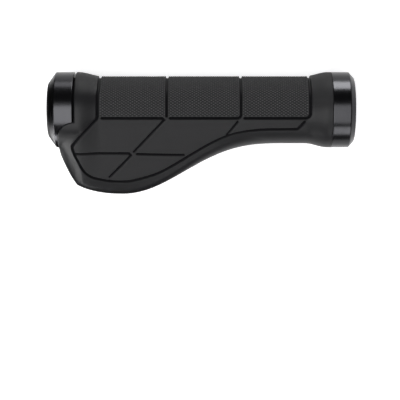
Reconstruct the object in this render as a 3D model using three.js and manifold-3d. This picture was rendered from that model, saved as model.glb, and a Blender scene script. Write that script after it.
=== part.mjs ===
// Ergonomic lock-on handlebar grip, in millimetres, +Z up, lying on the floor as it comes to rest.
// The bar axis runs along X: the outer end, with the cap, is at -X and the inner end at +X.
// The palm wing points to -Y and droops until its rim touches the floor beside the rings.
import * as THREE from "three";
import { mergeVertices } from "three/addons/utils/BufferGeometryUtils.js";
import Module from "manifold-3d";

const wasm = await Module();
wasm.setup();
const { Manifold, CrossSection } = wasm;

// Driving dimensions. Each is written once, and the sizes below follow from them.
const FACETS = 72; // sides of every round piece

// Handlebar and sleeve
const BAR_DIAMETER = 22.2; // handlebar that the grip slides on
const SLEEVE_WALL = 1.5;
const MOULD_CLEARANCE = 0.1; // between the sleeve and the rubber, all round
const LUG_COUNT = 3;
const LUG_ANGLE = 50; // degrees taken by one lug of the sleeve
const LUG_LENGTH = 3.4;
const LUG_CLEARANCE = 0.25;

// Rubber body, along X
const OUTER_SEAM = -52.75; // rubber's end face at the outer ring
const INNER_SEAM = 54.95; // rubber's end face at the inner ring
const SEAM_GAP = 0.5; // between a rubber end face and its ring
const RUBBER_WALL = 1.6; // over the sleeve, on the plain tube
const FLARE_LENGTH = 9.5; // over which the tube widens to a lip
const LIP_LENGTH = 1.3; // straight band beside the ring
const LIP_EDGE = 0.6; // rounding of the lip's edge

// Palm wing, measured from the bar axis
const WING_REACH = 37.5; // at the crest
const CREST_X = -33.5;
const WING_TAPER = 70.8; // from the crest to where the wing has faded into the tube
const TAPER_POWER = 1.6;
const CREST_DROP = 0.0027; // how fast the rim falls from the crest to the outer corner
const CREST_POWER = 2.44;
const CORNER_X = -53.4; // outer corner, where the slanted end starts
const CORNER_REACH = 33.55;
const CORNER_SOFTNESS = 0.15; // 0 would be a sharp corner
const SLANT = 1.42; // slope of the slanted end at the corner
const SLANT_CURVE = 0.105; // how much steeper it gets with each millimetre
const RIM_RADIUS = 5.5; // half the wing's thickness at the crest's rim
const SLANT_ROUND = 2.1; // how much further the rim's rounding reaches on the slanted end

// Hood over the outer ring, on the wing's side
const HOOD_END = -60;
const HOOD_SHEET = 0.7; // thickness of the hood's upper edge over the ring
const HOOD_START = 0.9; // how far past the bar axis the upper edge starts
const HOOD_CORNER = 8; // height of the hood's rounded corner
const HOOD_UNDER_START = 8.4; // the same for the edge that faces the floor
const HOOD_CLEARANCE = 0.3; // between the hood and the ring

// Grooves
const GROOVE_WIDTH = 1.1;
const SLANT_GROOVE_WIDTH = 0.9; // of the grooves that slant across the wing
const GROOVE_DEPTH = 0.9;
const RING_GROOVES = [-42.6, -14.2, 16.8, 45.6];
const PANEL_TOP = -0.25; // place of the straight grooves along the tube, from the bar axis
const BRIDGE = 0.4; // rubber left between two grooves that nearly meet

// Clamp rings
const RING_WALL = 4.85;
const RING_BORE_CLEARANCE = 0.05;
const INNER_RING_WIDTH = 9.35;
const INNER_CHAMFER = 2.2; // along the bar
const INNER_CHAMFER_DEPTH = 2.5; // towards the bar
const OUTER_RING_WIDTH = 10.45;
const OUTER_CHAMFER = 2.5; // along the bar; it runs down to the cap's rim
const CAP_RIM = 0.25; // flat metal left round the cap
const RING_EDGE = 0.3; // small chamfer at the rubber's side
const SLIT_WIDTH = 1.2;
const SLIT_ANGLE = 262; // degrees from the wing's direction, so that it faces down and back

// Clamp bolts
const BOLT_DIAMETER = 2.5;
const BOLT_HEAD = 4.2;
const BOLT_HEAD_HEIGHT = 1.9;
const BOLT_SOCKET = 2;
const BOLT_SOCKET_DEPTH = 1;
const BOLT_REACH = 6; // from the slit to the bolt's tip
const BOLT_SEAT = 2.3; // from the slit to the seat under the head
const BOLT_POCKET_WALL = 0.25; // left between the head's pocket and the ring's bore
const BOLT_CLEARANCE = 0.2;

// End cap
const CAP_FLANGE = 1.05; // how far the cap reaches over the ring's bore, all round
const CAP_PROUD = 1.5; // how far the cap stands out of the ring
const CAP_ROUND = 1.1;
const CAP_DOME = 0.7;
const SPIGOT_CLEARANCE = 0.55; // between the cap's spigot and the ring's bore
const SPIGOT_LENGTH = 3;
const CAP_RECESS = 0.8; // depth of the seat that the cap's flange sits in
const CAP_CLEARANCE = 0.15;

// Sizes that follow.
const sleeveBore = BAR_DIAMETER / 2;
const sleeveRadius = sleeveBore + SLEEVE_WALL;
const rubberBore = sleeveRadius + MOULD_CLEARANCE;
const plainRadius = rubberBore + RUBBER_WALL;
const ringBore = sleeveBore + RING_BORE_CLEARANCE;
const ringRadius = ringBore + RING_WALL;
const capRadius = ringBore + CAP_FLANGE;
const capSeat = capRadius + CAP_CLEARANCE;
const outerRingFace = OUTER_SEAM - SEAM_GAP;
const innerRingFace = INNER_SEAM + SEAM_GAP;
const outerEnd = outerRingFace - OUTER_RING_WIDTH;
const innerEnd = innerRingFace + INNER_RING_WIDTH;
const far = 4 * ringRadius; // long enough for a cut to reach past every piece
const radians = THREE.MathUtils.degToRad;
const smooth = (t) => THREE.MathUtils.smoothstep(t, 0, 1);

// The droop: the rim at the crest and the rings touch the floor together.
const droop = Math.asin((ringRadius - RIM_RADIUS) / (WING_REACH - RIM_RADIUS));

// Closed solid from an indexed three.js geometry.
function solid(geometry) {
  const bare = new THREE.BufferGeometry();
  bare.setAttribute("position", geometry.getAttribute("position"));
  bare.setIndex(geometry.getIndex());
  const merged = mergeVertices(bare, 1e-4);
  return new Manifold(
    new wasm.Mesh({
      numProp: 3,
      vertProperties: new Float32Array(merged.getAttribute("position").array),
      triVerts: new Uint32Array(merged.getIndex().array),
    }),
  );
}

// Ring or disc turned about the X axis from [x, radius] points.
function turned(profile) {
  const outline = profile.map(([x, radius]) => [radius, x]);
  return new CrossSection([outline], "EvenOdd").revolve(FACETS).rotate([90, 0, 90]);
}

function tube(from, to, radius, bore = 0) {
  return turned([[from, bore], [from, radius], [to, radius], [to, bore]]);
}

// Prism over a shape in the wing's plane. The shape's points are [x, w]: x along the bar, and w from
// the bar axis towards the wing's rim, which is -Y.
function prism(shape, low, high) {
  return shape.mirror([0, 1]).extrude(high - low).translate([0, 0, low]);
}

// Direction in the YZ plane, as an angle about X, for an angle counted from the wing's direction.
const aboutX = (angle) => 180 - angle;

// Distance from the bar axis to the wing's rim at x. The palm wing and the tube are one loft.
function wingReach(x) {
  if (x > CREST_X) {
    const t = Math.min((x - CREST_X) / WING_TAPER, 1);
    const fade = Math.pow((1 + Math.cos(Math.PI * t)) / 2, TAPER_POWER);
    return plainRadius + (WING_REACH - plainRadius) * fade;
  }
  const crest = WING_REACH - CREST_DROP * Math.pow(CREST_X - x, CREST_POWER);
  const past = CORNER_X - x;
  const slanted = CORNER_REACH - SLANT * past - SLANT_CURVE * past * Math.abs(past);
  const k = CORNER_SOFTNESS;
  return -k * Math.log(Math.exp(-crest / k) + Math.exp(-slanted / k));
}

// How much a lip's edge is rounded off, for a depth past the start of the rounding.
function lipRounding(depth) {
  const past = THREE.MathUtils.clamp(depth, 0, LIP_EDGE);
  return LIP_EDGE - Math.sqrt(LIP_EDGE ** 2 - past ** 2);
}

// Radius of the tube part. The hood's sheet thickens the outer lip on the wing's upper side.
function tubeRadius(x, angle) {
  const outerLip = OUTER_SEAM + LIP_LENGTH;
  const innerLip = INNER_SEAM - LIP_LENGTH;
  const outward = smooth((outerLip + FLARE_LENGTH - x) / FLARE_LENGTH);
  const inward = smooth((x - innerLip + FLARE_LENGTH) / FLARE_LENGTH);
  const flared = plainRadius + (ringRadius - plainRadius) * Math.max(outward, inward);
  const sheet = smooth((100 - angle) / 30) * smooth((angle + 40) / 30);
  const awayFromHood = Math.max(smooth((angle - 85) / 15), smooth((-55 - angle) / 15));
  const innerEdge = lipRounding(x - (INNER_SEAM - LIP_EDGE));
  const outerEdge = lipRounding(OUTER_SEAM + LIP_EDGE - x) * awayFromHood;
  return flared + (HOOD_SHEET + HOOD_CLEARANCE) * sheet * outward - innerEdge - outerEdge;
}

// The rim's rounding: r across the wing's thickness and a towards the bar.
function rimSize(x, reach) {
  const out = THREE.MathUtils.clamp(
    (reach - plainRadius) / (WING_REACH - plainRadius), 0, 1);
  const r = plainRadius - (plainRadius - RIM_RADIUS) * Math.pow(out, 0.6);
  const slant = smooth((CORNER_X + 3 - x) / 5);
  return { r, a: Math.min(r * (1 + (SLANT_ROUND - 1) * slant), reach - 1) };
}

// Section of the loft at x: the outline round the tube's circle and the rim's ellipse.
function sectionRadius(x, angle, inset) {
  const turn = Math.abs(radians(angle));
  const reach = wingReach(x) - inset;
  const R = tubeRadius(x, angle) - inset;
  const rim = rimSize(x, wingReach(x));
  const b = Math.max(rim.r - inset, 1);
  const a = Math.max(rim.a - inset, 1);
  const d = reach - a;
  if (reach <= R + 0.01) return R;
  const qa = a * a - b * b - d * d;
  const qb = 2 * R * d;
  const qc = b * b - R * R;
  const root = Math.sqrt(Math.max(qb * qb - 4 * qa * qc, 0));
  const cosTangent = Math.abs(qa) < 1e-9 ? -qc / qb : (-qb + root) / (2 * qa);
  const tangent = Math.acos(THREE.MathUtils.clamp(cosTangent, -1, 1));
  if (turn >= tangent) return R;
  const h = Math.hypot(a * Math.cos(tangent), b * Math.sin(tangent));
  const touch = Math.atan2(
    (b * b * Math.sin(tangent)) / h, d + (a * a * Math.cos(tangent)) / h);
  if (turn >= touch) return R / Math.cos(turn - tangent);
  const p = (Math.cos(turn) / a) ** 2 + (Math.sin(turn) / b) ** 2;
  const q = (d * Math.cos(turn)) / (a * a);
  const s = (d * d) / (a * a) - 1;
  return (q + Math.sqrt(Math.max(q * q - p * s, 0))) / p;
}

// Angles of the loft's edges, closer together round the rim and the wing's faces.
function loftAngles(count) {
  const angles = [];
  for (let i = 0; i < count; i++) {
    const t = (i / count) * 2 - 1;
    const once = (0.38 * Math.sin(Math.PI * t)) / Math.PI;
    const twice = (0.22 * Math.sin(2 * Math.PI * t)) / Math.PI;
    angles.push(180 * (t - once - twice));
  }
  return angles;
}

function loft(stations, angles, inset) {
  const positions = [];
  const index = [];
  const n = angles.length;
  for (const x of stations) {
    for (const angle of angles) {
      const radius = sectionRadius(x, angle, inset);
      const turn = radians(angle);
      positions.push(x, -radius * Math.cos(turn), radius * Math.sin(turn));
    }
  }
  for (let i = 0; i + 1 < stations.length; i++) {
    for (let j = 0; j < n; j++) {
      const k = (j + 1) % n;
      const [a, b, c, d] = [i * n + j, i * n + k, (i + 1) * n + k, (i + 1) * n + j];
      index.push(a, d, c, a, c, b);
    }
  }
  const ends = [0, stations.length - 1];
  for (const i of ends) {
    const centre = positions.length / 3;
    positions.push(stations[i], 0, 0);
    for (let j = 0; j < n; j++) {
      const k = (j + 1) % n;
      if (i === 0) index.push(centre, i * n + j, i * n + k);
      else index.push(centre, i * n + k, i * n + j);
    }
  }
  const geometry = new THREE.BufferGeometry();
  geometry.setAttribute("position", new THREE.Float32BufferAttribute(positions, 3));
  geometry.setIndex(index);
  return solid(geometry);
}

function spread(from, to, count) {
  return Array.from({ length: count }, (_, i) => from + ((to - from) * i) / count);
}

const wingEnd = CREST_X + 0.75 * WING_TAPER;
const innerFlare = INNER_SEAM - LIP_LENGTH - FLARE_LENGTH;
const stations = [
  ...spread(HOOD_END, CORNER_X - 1, 7),
  ...spread(CORNER_X - 1, CORNER_X + 2, 5),
  ...spread(CORNER_X + 2, CREST_X, 8),
  ...spread(CREST_X, wingEnd, 14),
  ...spread(wingEnd, innerFlare, 4),
  ...spread(innerFlare, INNER_SEAM - LIP_EDGE, 6),
  ...[0, LIP_EDGE / 4, LIP_EDGE].map((depth) => OUTER_SEAM + depth),
  ...[0, LIP_EDGE / 4, LIP_EDGE].map((depth) => INNER_SEAM - depth),
].sort((a, b) => a - b);

// A groove follows a line of [x, w] points as a strip with round ends.
function strip(points, width = GROOVE_WIDTH) {
  const pieces = [];
  for (let i = 0; i + 1 < points.length; i++) {
    const pair = [points[i], points[i + 1]];
    const dots = pair.map(([x, w]) => CrossSection.circle(width / 2, 8).translate([x, w]));
    pieces.push(CrossSection.hull(dots));
  }
  return CrossSection.union(pieces);
}

// Points of a smooth curve through the given ones.
function curve(points, count) {
  const path = new THREE.SplineCurve(points.map(([x, w]) => new THREE.Vector2(x, w)));
  return path.getPoints(count).map((p) => [p.x, p.y]);
}

// Groove round the wing's panels, from the slanted outer end along the rim to the inner end.
const rimLine = [
  [-50.8, 8.1], [-53, 10.9], [-54, 13], [-53.4, 16.5], [-51.8, 20.6], [-49.8, 24.9], [-46.9, 27.8],
  [-42.9, 29.2], [-38.9, 30], [-34.1, 30.1], [-29.5, 29.7], [-19.8, 26.5], [-12.8, 22.5], [-4.1, 16.6],
  [3.6, 11.6], [11.3, 7.6], [18.1, 5.6], [26.6, 4.7], [35.2, 4.6], [40.5, 4.6],
];
const rimStart = rimLine[0];
const rimEnd = rimLine[rimLine.length - 1];

// The straight grooves lie on the tube between the ring grooves. Each starts a bridge past a ring
// groove and ends in the next corner.
const [ringOne, ringTwo, ringThree, ringFour] = RING_GROOVES;
const pastRing = GROOVE_WIDTH + BRIDGE;
const turnOne = [ringOne - 0.75, PANEL_TOP + 0.5];
const turnTwo = [ringTwo - 1.1, PANEL_TOP + 0.7];
const endThree = [ringThree - 1.2, PANEL_TOP];
const endFour = [ringFour - 1.7, PANEL_TOP];
const straights = [
  strip([[ringOne + pastRing, PANEL_TOP], [turnTwo[0] - 0.8, PANEL_TOP], turnTwo]),
  strip([[ringTwo + pastRing, PANEL_TOP], endThree]),
  strip([[ringThree + pastRing, PANEL_TOP], endFour]),
];

// The shelf groove crosses the first slanting groove. Both are broken there by a bridge.
const shelfTurn = [-29.5, 17.3];
const shelf = [
  strip([[-53.4, 16.3], [-30.3, 16.4], shelfTurn]),
  strip([[-26.8, 16.75], [-7.2, 17.4]]),
];
const slants = [
  strip([turnOne, rimStart]),
  strip([turnTwo, [-28.2, 15.6]], SLANT_GROOVE_WIDTH),
  strip([shelfTurn, [-33.9, 22.4], [-38.9, 27.9]], SLANT_GROOVE_WIDTH),
  strip([[endThree[0] - 0.2, PANEL_TOP + pastRing], [10.9, 7.6]], SLANT_GROOVE_WIDTH),
  strip([[endFour[0] - 0.6, PANEL_TOP + pastRing], rimEnd]),
];

// Ring grooves run round the back and end on the tube: the first turns into the rim's groove, the
// second stops a bridge before its corner, and the other two turn into the straight grooves.
const ringEnds = [
  [[ringOne, -0.8 * plainRadius], [ringOne - 0.35, -0.65 * plainRadius], [ringOne - 0.35, -1], turnOne],
  [[ringTwo, turnTwo[1] - pastRing]],
  [[ringThree, PANEL_TOP - 1.3], [ringThree - 0.4, PANEL_TOP - 0.4], endThree],
  [[ringFour, PANEL_TOP - 1.6], [ringFour - 0.7, PANEL_TOP - 0.5], endFour],
];
const rings = RING_GROOVES.map((x, i) => strip([[x, -far], ...ringEnds[i]]));
const grooveShape = CrossSection.union([
  strip(curve(rimLine, 38)), ...straights, ...shelf, ...slants, ...rings,
]);

// Rubber grip: the loft less its grooves, the room for the outer ring, and the bore.
function makeRubber() {
  const angles = loftAngles(64);
  const outside = loft(stations, angles, 0);
  const inside = loft(stations, angles, GROOVE_DEPTH);
  const grooves = prism(grooveShape, -far, far).subtract(inside);

  // What the ring needs: the room round it, and all of the loft outside the hood's outline.
  const room = tube(outerEnd - far, OUTER_SEAM, ringRadius + HOOD_CLEARANCE);
  const hoodLine = (start) => {
    const depth = OUTER_SEAM - HOOD_END;
    const points = [[OUTER_SEAM, -far], [OUTER_SEAM, start]];
    for (let i = 1; i <= 10; i++) {
      const turn = (Math.PI / 2) * (i / 10);
      points.push([
        OUTER_SEAM - depth * Math.sin(turn),
        start + HOOD_CORNER * (1 - Math.cos(turn)),
      ]);
    }
    points.push([HOOD_END, far], [HOOD_END - far, far], [HOOD_END - far, -far]);
    return new CrossSection([points], "EvenOdd");
  };
  const above = prism(hoodLine(HOOD_START), 0, far);
  const below = prism(hoodLine(HOOD_UNDER_START), -far, 0);
  const bore = tube(OUTER_SEAM - far, INNER_SEAM + far, rubberBore);
  return outside.subtract(grooves).subtract(room).subtract(above).subtract(below).subtract(bore);
}

// Lugs at both ends of the sleeve, or the room that the rings leave for them.
function lugs(clearance) {
  const outer = outerRingFace - LUG_LENGTH - clearance;
  const inner = innerRingFace + LUG_LENGTH + clearance;
  const ring = tube(outer, inner, sleeveRadius + clearance, sleeveBore - clearance);
  const half = radians(LUG_ANGLE / 2) + clearance / sleeveRadius;
  const wedges = Array.from({ length: LUG_COUNT }, (_, i) => {
    const middle = radians(aboutX(SLIT_ANGLE)) + (2 * Math.PI * (i + 0.5)) / LUG_COUNT;
    const corners = [[0, 0]];
    for (const side of [-1, 0, 1]) {
      const turn = middle + side * half;
      corners.push([far * Math.cos(turn), far * Math.sin(turn)]);
    }
    return new CrossSection([corners], "EvenOdd")
      .extrude(inner - outer)
      .rotate([90, 0, 90])
      .translate([outer, 0, 0]);
  });
  return ring.intersect(Manifold.union(wedges));
}

function makeSleeve() {
  const body = tube(OUTER_SEAM, INNER_SEAM, sleeveRadius, sleeveBore);
  return body.add(lugs(0));
}

// Local frame of a bolt: u out from the bar axis, t along the bolt, x along the bar.
function atSlit(shape, x) {
  return shape.rotate([aboutX(SLIT_ANGLE), 0, 0]).translate([x, 0, 0]);
}

// The bolt runs as close to the bore as its head's pocket allows.
const headRoom = BOLT_HEAD / 2 + BOLT_CLEARANCE;
const boltOffset = headRoom + Math.sqrt((ringBore + BOLT_POCKET_WALL) ** 2 - BOLT_SEAT ** 2);

function rodAlongBolt(from, to, radius, sides = 24) {
  return Manifold.cylinder(to - from, radius, radius, sides).translate([0, boltOffset, from]);
}

function boltRoom() {
  const slit = Manifold.cube([4 * ringRadius, 2 * ringRadius, SLIT_WIDTH])
    .translate([-2 * ringRadius, 0, -SLIT_WIDTH / 2]);
  const pocket = rodAlongBolt(BOLT_SEAT, ringRadius, headRoom).add(
    Manifold.cube([2 * headRoom, ringRadius, ringRadius]).translate([-headRoom, boltOffset, BOLT_SEAT]),
  );
  const hole = rodAlongBolt(-ringRadius, BOLT_SEAT + 1, BOLT_DIAMETER / 2 + BOLT_CLEARANCE);
  return slit.add(pocket).add(hole);
}

function makeRing(profile, middle) {
  return turned(profile).subtract(lugs(LUG_CLEARANCE)).subtract(atSlit(boltRoom(), middle));
}

function makeBolt(middle) {
  const head = rodAlongBolt(BOLT_SEAT, BOLT_SEAT + BOLT_HEAD_HEIGHT, BOLT_HEAD / 2);
  const shank = rodAlongBolt(-BOLT_REACH, BOLT_SEAT + 0.5, BOLT_DIAMETER / 2);
  const acrossCorners = BOLT_SOCKET / Math.cos(Math.PI / 6);
  const top = BOLT_SEAT + BOLT_HEAD_HEIGHT;
  const socket = rodAlongBolt(top - BOLT_SOCKET_DEPTH, top + 1, acrossCorners / 2, 6);
  return atSlit(head.add(shank).subtract(socket), middle);
}

// Each bolt sits in the middle of its ring's straight part.
const innerMiddle = innerRingFace + (INNER_RING_WIDTH - INNER_CHAMFER) / 2;
const outerMiddle = outerRingFace - (OUTER_RING_WIDTH - OUTER_CHAMFER) / 2;

function innerRingProfile() {
  return [
    [innerRingFace, ringBore],
    [innerEnd, ringBore],
    [innerEnd, ringRadius - INNER_CHAMFER_DEPTH],
    [innerEnd - INNER_CHAMFER, ringRadius],
    [innerRingFace + RING_EDGE, ringRadius],
    [innerRingFace, ringRadius - RING_EDGE],
  ];
}

function outerRingProfile() {
  return [
    [outerRingFace, ringBore],
    [outerRingFace, ringRadius - RING_EDGE],
    [outerRingFace - RING_EDGE, ringRadius],
    [outerEnd + OUTER_CHAMFER, ringRadius],
    [outerEnd, capSeat + CAP_RIM],
    [outerEnd, capSeat],
    [outerEnd + CAP_RECESS, capSeat],
    [outerEnd + CAP_RECESS, ringBore],
  ];
}

// End cap with a round edge and a slightly domed face, held by its spigot.
function makeCap() {
  const back = outerEnd + CAP_RECESS;
  const front = outerEnd - CAP_PROUD;
  const spigot = ringBore - SPIGOT_CLEARANCE;
  const edge = capRadius - CAP_ROUND;
  const profile = [[back + SPIGOT_LENGTH, 0], [back + SPIGOT_LENGTH, spigot]];
  profile.push([back, spigot], [back, capRadius]);
  for (let i = 0; i <= 5; i++) {
    const turn = (Math.PI / 2) * (i / 5);
    profile.push([
      front + CAP_DOME + CAP_ROUND * (1 - Math.sin(turn)),
      edge + CAP_ROUND * Math.cos(turn),
    ]);
  }
  for (let i = 3; i >= 0; i--) {
    const r = (edge * i) / 4;
    profile.push([front + CAP_DOME * (r / edge) ** 2, r]);
  }
  return turned(profile);
}

// Looks of the materials.
const colours = {
  rubber: { color: 0x37373a, roughness: 0.75, metalness: 0 },
  plastic: { color: 0x161617, roughness: 0.55, metalness: 0 },
  anodised: { color: 0x1d1d20, roughness: 0.25, metalness: 0.85 },
  steel: { color: 0x2a2a2c, roughness: 0.4, metalness: 0.9 },
};

function named(name, shape, look) {
  const { numProp, vertProperties, triVerts } = shape.getMesh();
  const geometry = new THREE.BufferGeometry();
  const xyz = new Float32Array((vertProperties.length / numProp) * 3);
  for (let i = 0; i < xyz.length / 3; i++) {
    xyz.set(vertProperties.subarray(i * numProp, i * numProp + 3), i * 3);
  }
  geometry.setAttribute("position", new THREE.BufferAttribute(xyz, 3));
  geometry.setIndex(new THREE.BufferAttribute(triVerts, 1));
  geometry.computeVertexNormals();
  const mesh = new THREE.Mesh(geometry, new THREE.MeshStandardMaterial(colours[look]));
  mesh.name = name;
  return mesh;
}

// The pieces are drawn with the wing level and the bar axis through the origin.
const wingFrame = new THREE.Group();
wingFrame.add(
  named("rubber_grip", makeRubber(), "rubber"),
  named("core_sleeve", makeSleeve(), "plastic"),
  named("inner_clamp_ring", makeRing(innerRingProfile(), innerMiddle), "anodised"),
  named("outer_clamp_ring", makeRing(outerRingProfile(), outerMiddle), "anodised"),
  named("inner_clamp_bolt", makeBolt(innerMiddle), "steel"),
  named("outer_clamp_bolt", makeBolt(outerMiddle), "steel"),
  named("end_cap", makeCap(), "plastic"),
);

// The group droops the wing and sets the grip on the floor, centred on the origin.
wingFrame.rotation.x = droop;
const grip = new THREE.Group();
grip.add(wingFrame);
const box = new THREE.Box3().setFromObject(grip, true);
grip.position.set(-(box.min.x + box.max.x) / 2, -(box.min.y + box.max.y) / 2, -box.min.z);

export default grip;
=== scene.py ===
# %% [markdown]
# # A lock-on handlebar grip, built from numpy surfaces
# The grip lies on a pale floor and is seen straight from above. Its rigid frame comes packed from the CAD
# model. Blender adds what makes it look real: a finely grooved and knurled rubber body, gloss rings with
# soft edges, small bolts, and materials made of nodes.

# %% Load the frame
import math

import bmesh
import bpy
import numpy as np
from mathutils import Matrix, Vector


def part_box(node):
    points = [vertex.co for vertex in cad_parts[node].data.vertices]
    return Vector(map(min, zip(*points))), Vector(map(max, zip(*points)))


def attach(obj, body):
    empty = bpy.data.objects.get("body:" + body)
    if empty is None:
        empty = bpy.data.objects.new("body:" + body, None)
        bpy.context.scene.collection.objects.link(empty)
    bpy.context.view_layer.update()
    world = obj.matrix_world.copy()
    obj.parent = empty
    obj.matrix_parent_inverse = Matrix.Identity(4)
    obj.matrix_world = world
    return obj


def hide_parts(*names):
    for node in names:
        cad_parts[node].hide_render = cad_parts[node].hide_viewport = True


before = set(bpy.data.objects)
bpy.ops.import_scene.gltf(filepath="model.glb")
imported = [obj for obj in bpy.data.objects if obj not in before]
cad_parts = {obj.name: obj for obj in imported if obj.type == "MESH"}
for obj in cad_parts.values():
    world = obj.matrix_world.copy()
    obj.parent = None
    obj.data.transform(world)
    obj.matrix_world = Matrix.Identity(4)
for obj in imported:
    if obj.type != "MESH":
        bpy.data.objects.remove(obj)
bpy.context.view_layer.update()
print("CAD nodes:", sorted(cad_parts))

# %% [markdown]
# ## Where the bar's axis runs
# Every surface below is worked out in millimetres round the axis of the handlebar: x along the bar, w from
# the axis towards the rim of the palm wing, and n across the wing. The wing droops to the floor, so one
# function turns these three into Blender's metres. The axis is read from the box of the inner clamp ring,
# so the visual model follows the CAD one.

# %% The wing's frame
# Lengths are in millimetres. The seams are where the rubber ends at the two rings.
RING_RADIUS = 16.0
OUTER_SEAM = -52.75
INNER_SEAM = 54.95
SEAM_GAP = 0.5
RIM_RADIUS = 5.5
WING_REACH = 37.5
DROOP = math.asin((RING_RADIUS - RIM_RADIUS) / (WING_REACH - RIM_RADIUS))

ring_low, ring_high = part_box("inner_clamp_ring")
axis_y = (ring_low[1] + ring_high[1]) / 2
axis_z = (ring_low[2] + ring_high[2]) / 2
shift_x = ring_low[0] - (INNER_SEAM + SEAM_GAP) / 1000


def to_metres(x, w, n):
    """Points of the wing's frame in the row's frame: w and n turned by the droop and moved to the axis."""
    y = axis_y - (w * math.cos(DROOP) + n * math.sin(DROOP)) / 1000
    z = axis_z + (n * math.cos(DROOP) - w * math.sin(DROOP)) / 1000
    return np.stack(np.broadcast_arrays(shift_x + x / 1000, y, z), axis=-1)


print("bar axis at y, z:", round(axis_y * 1000, 2), round(axis_z * 1000, 2), "mm")

# %% [markdown]
# ## From arrays to a mesh
# A surface is a grid of points, so its faces are always the same pattern of quads. One helper makes them
# from the array's shape, and another fills a mesh with them. Smooth normals and named values per point,
# which the materials read, can be added there. Both are quicker than building faces one by one.


# %% Grid to mesh
def grid_faces(rows, columns, ring=False):
    """Quads between neighbouring rows and columns. The last column joins the first, and in a ring the
    last row joins the first as well."""
    i = np.arange(rows if ring else rows - 1)[:, None]
    j = np.arange(columns)[None, :]
    below, k = (i + 1) % rows, (j + 1) % columns
    quads = np.stack([i * columns + j, i * columns + k, below * columns + k, below * columns + j], axis=-1)
    return quads.reshape(-1, 4)


def fill_mesh(name, points, faces, normals=None, values=None):
    """Makes an object from point and quad arrays, with optional point normals and point attributes."""
    mesh = bpy.data.meshes.new(name)
    mesh.vertices.add(len(points))
    mesh.vertices.foreach_set("co", points.astype(np.float32).ravel())
    mesh.loops.add(faces.size)
    mesh.loops.foreach_set("vertex_index", faces.astype(np.int32).ravel())
    mesh.polygons.add(len(faces))
    mesh.polygons.foreach_set("loop_start", np.arange(0, faces.size, faces.shape[1], dtype=np.int32))
    mesh.update(calc_edges=True)
    mesh.validate()
    mesh.polygons.foreach_set("use_smooth", np.ones(len(mesh.polygons), dtype=bool))
    for key, value in (values or {}).items():
        stored = mesh.attributes.new(key, "FLOAT", "POINT")
        stored.data.foreach_set("value", value.astype(np.float32).ravel())
    if normals is not None:
        mesh.normals_split_custom_set_from_vertices(normals.reshape(-1, 3).astype(np.float32))
    obj = bpy.data.objects.new(name, mesh)
    bpy.context.scene.collection.objects.link(obj)
    print(name, len(points), "points", len(faces), "faces")
    return obj


# %% [markdown]
# ## The rubber's form
# The body is one loft. At each x its section is the outline stretched round two shapes: the circle of the
# tube and an ellipse at the wing's rim. Such an outline has three parts: an arc on the tube, a straight
# wing face, and the ellipse. As a radius at each angle it has a closed formula, so whole arrays can be
# worked out at once. It could also be modelled with subdivision surfaces, but the CAD solid comes from
# this same formula, so the dressed body keeps close to it.

# %% Sizes of the loft
# The tube, and the flares that widen it to the rings.
TUBE_RADIUS = 14.3
FLARE_LENGTH = 9.5
LIP_LENGTH = 1.3

# The wing: it reaches furthest at the crest, and fades towards the inner ring over the taper.
CREST_X = -33.5
WING_TAPER = 70.8
TAPER_POWER = 1.6
THINNING_POWER = 0.6
CREST_DROP = 0.0027
CREST_POWER = 2.44

# The slanted outer end of the wing, which starts at a soft corner.
CORNER_X = -53.4
CORNER_REACH = 33.55
CORNER_SOFTNESS = 0.15
SLANT = 1.42
SLANT_CURVE = 0.105
SLANT_LIMIT = 20
SLANT_ROUND = 2.1
SLANT_START = CORNER_X + 3
SLANT_BLEND = 5

# The hood over the outer ring, a raised sheet between two angles from the wing, in degrees.
SHEET_FROM, SHEET_TO, SHEET_BLEND = -40, 100, 30
HOOD_END = -60
HOOD_RAISE = 1.0
HOOD_START = 0.9
HOOD_CORNER = 8.0
HOOD_UNDER_START = 8.4


def smooth(t):
    """Smoothstep: 0 below 0, 1 above 1, and 3t^2 - 2t^3 between."""
    t = np.clip(t, 0, 1)
    return t * t * (3 - 2 * t)


def rise(value, start, length):
    """0 up to start, 1 from start + length on, and smooth between."""
    return smooth((value - start) / length)


print("the wing fades out at x =", round(CREST_X + WING_TAPER, 1), "mm")


# %% Reach of the wing
def wing_reach(x):
    """Distance from the bar's axis to the rim: a cosine fade past the crest, and before it the softer of
    a power curve and the slanted outer end."""
    fade = ((1 + np.cos(np.pi * np.clip((x - CREST_X) / WING_TAPER, 0, 1))) / 2) ** TAPER_POWER
    inner = TUBE_RADIUS + (WING_REACH - TUBE_RADIUS) * fade
    crest = WING_REACH - CREST_DROP * np.maximum(CREST_X - x, 0) ** CREST_POWER
    past = np.maximum(CORNER_X - x, -SLANT_LIMIT)
    slanted = CORNER_REACH - SLANT * past - SLANT_CURVE * past * np.abs(past)
    outer = -CORNER_SOFTNESS * np.logaddexp(-crest / CORNER_SOFTNESS, -slanted / CORNER_SOFTNESS)
    return np.where(x > CREST_X, inner, outer)


print("reach at the crest", float(wing_reach(np.array(CREST_X))), "mm")


# %% Outline of a section
def tube_radius(x, degrees):
    """The tube widens to a lip at each ring. The hood's sheet thickens the outer lip over the wing."""
    outward = smooth((OUTER_SEAM + LIP_LENGTH + FLARE_LENGTH - x) / FLARE_LENGTH)
    inward = smooth((x - INNER_SEAM + LIP_LENGTH + FLARE_LENGTH) / FLARE_LENGTH)
    sheet = rise(-degrees, -SHEET_TO, SHEET_BLEND) * rise(degrees, SHEET_FROM, SHEET_BLEND)
    flared = TUBE_RADIUS + (RING_RADIUS - TUBE_RADIUS) * np.maximum(outward, inward)
    return flared + HOOD_RAISE * sheet * outward


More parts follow.
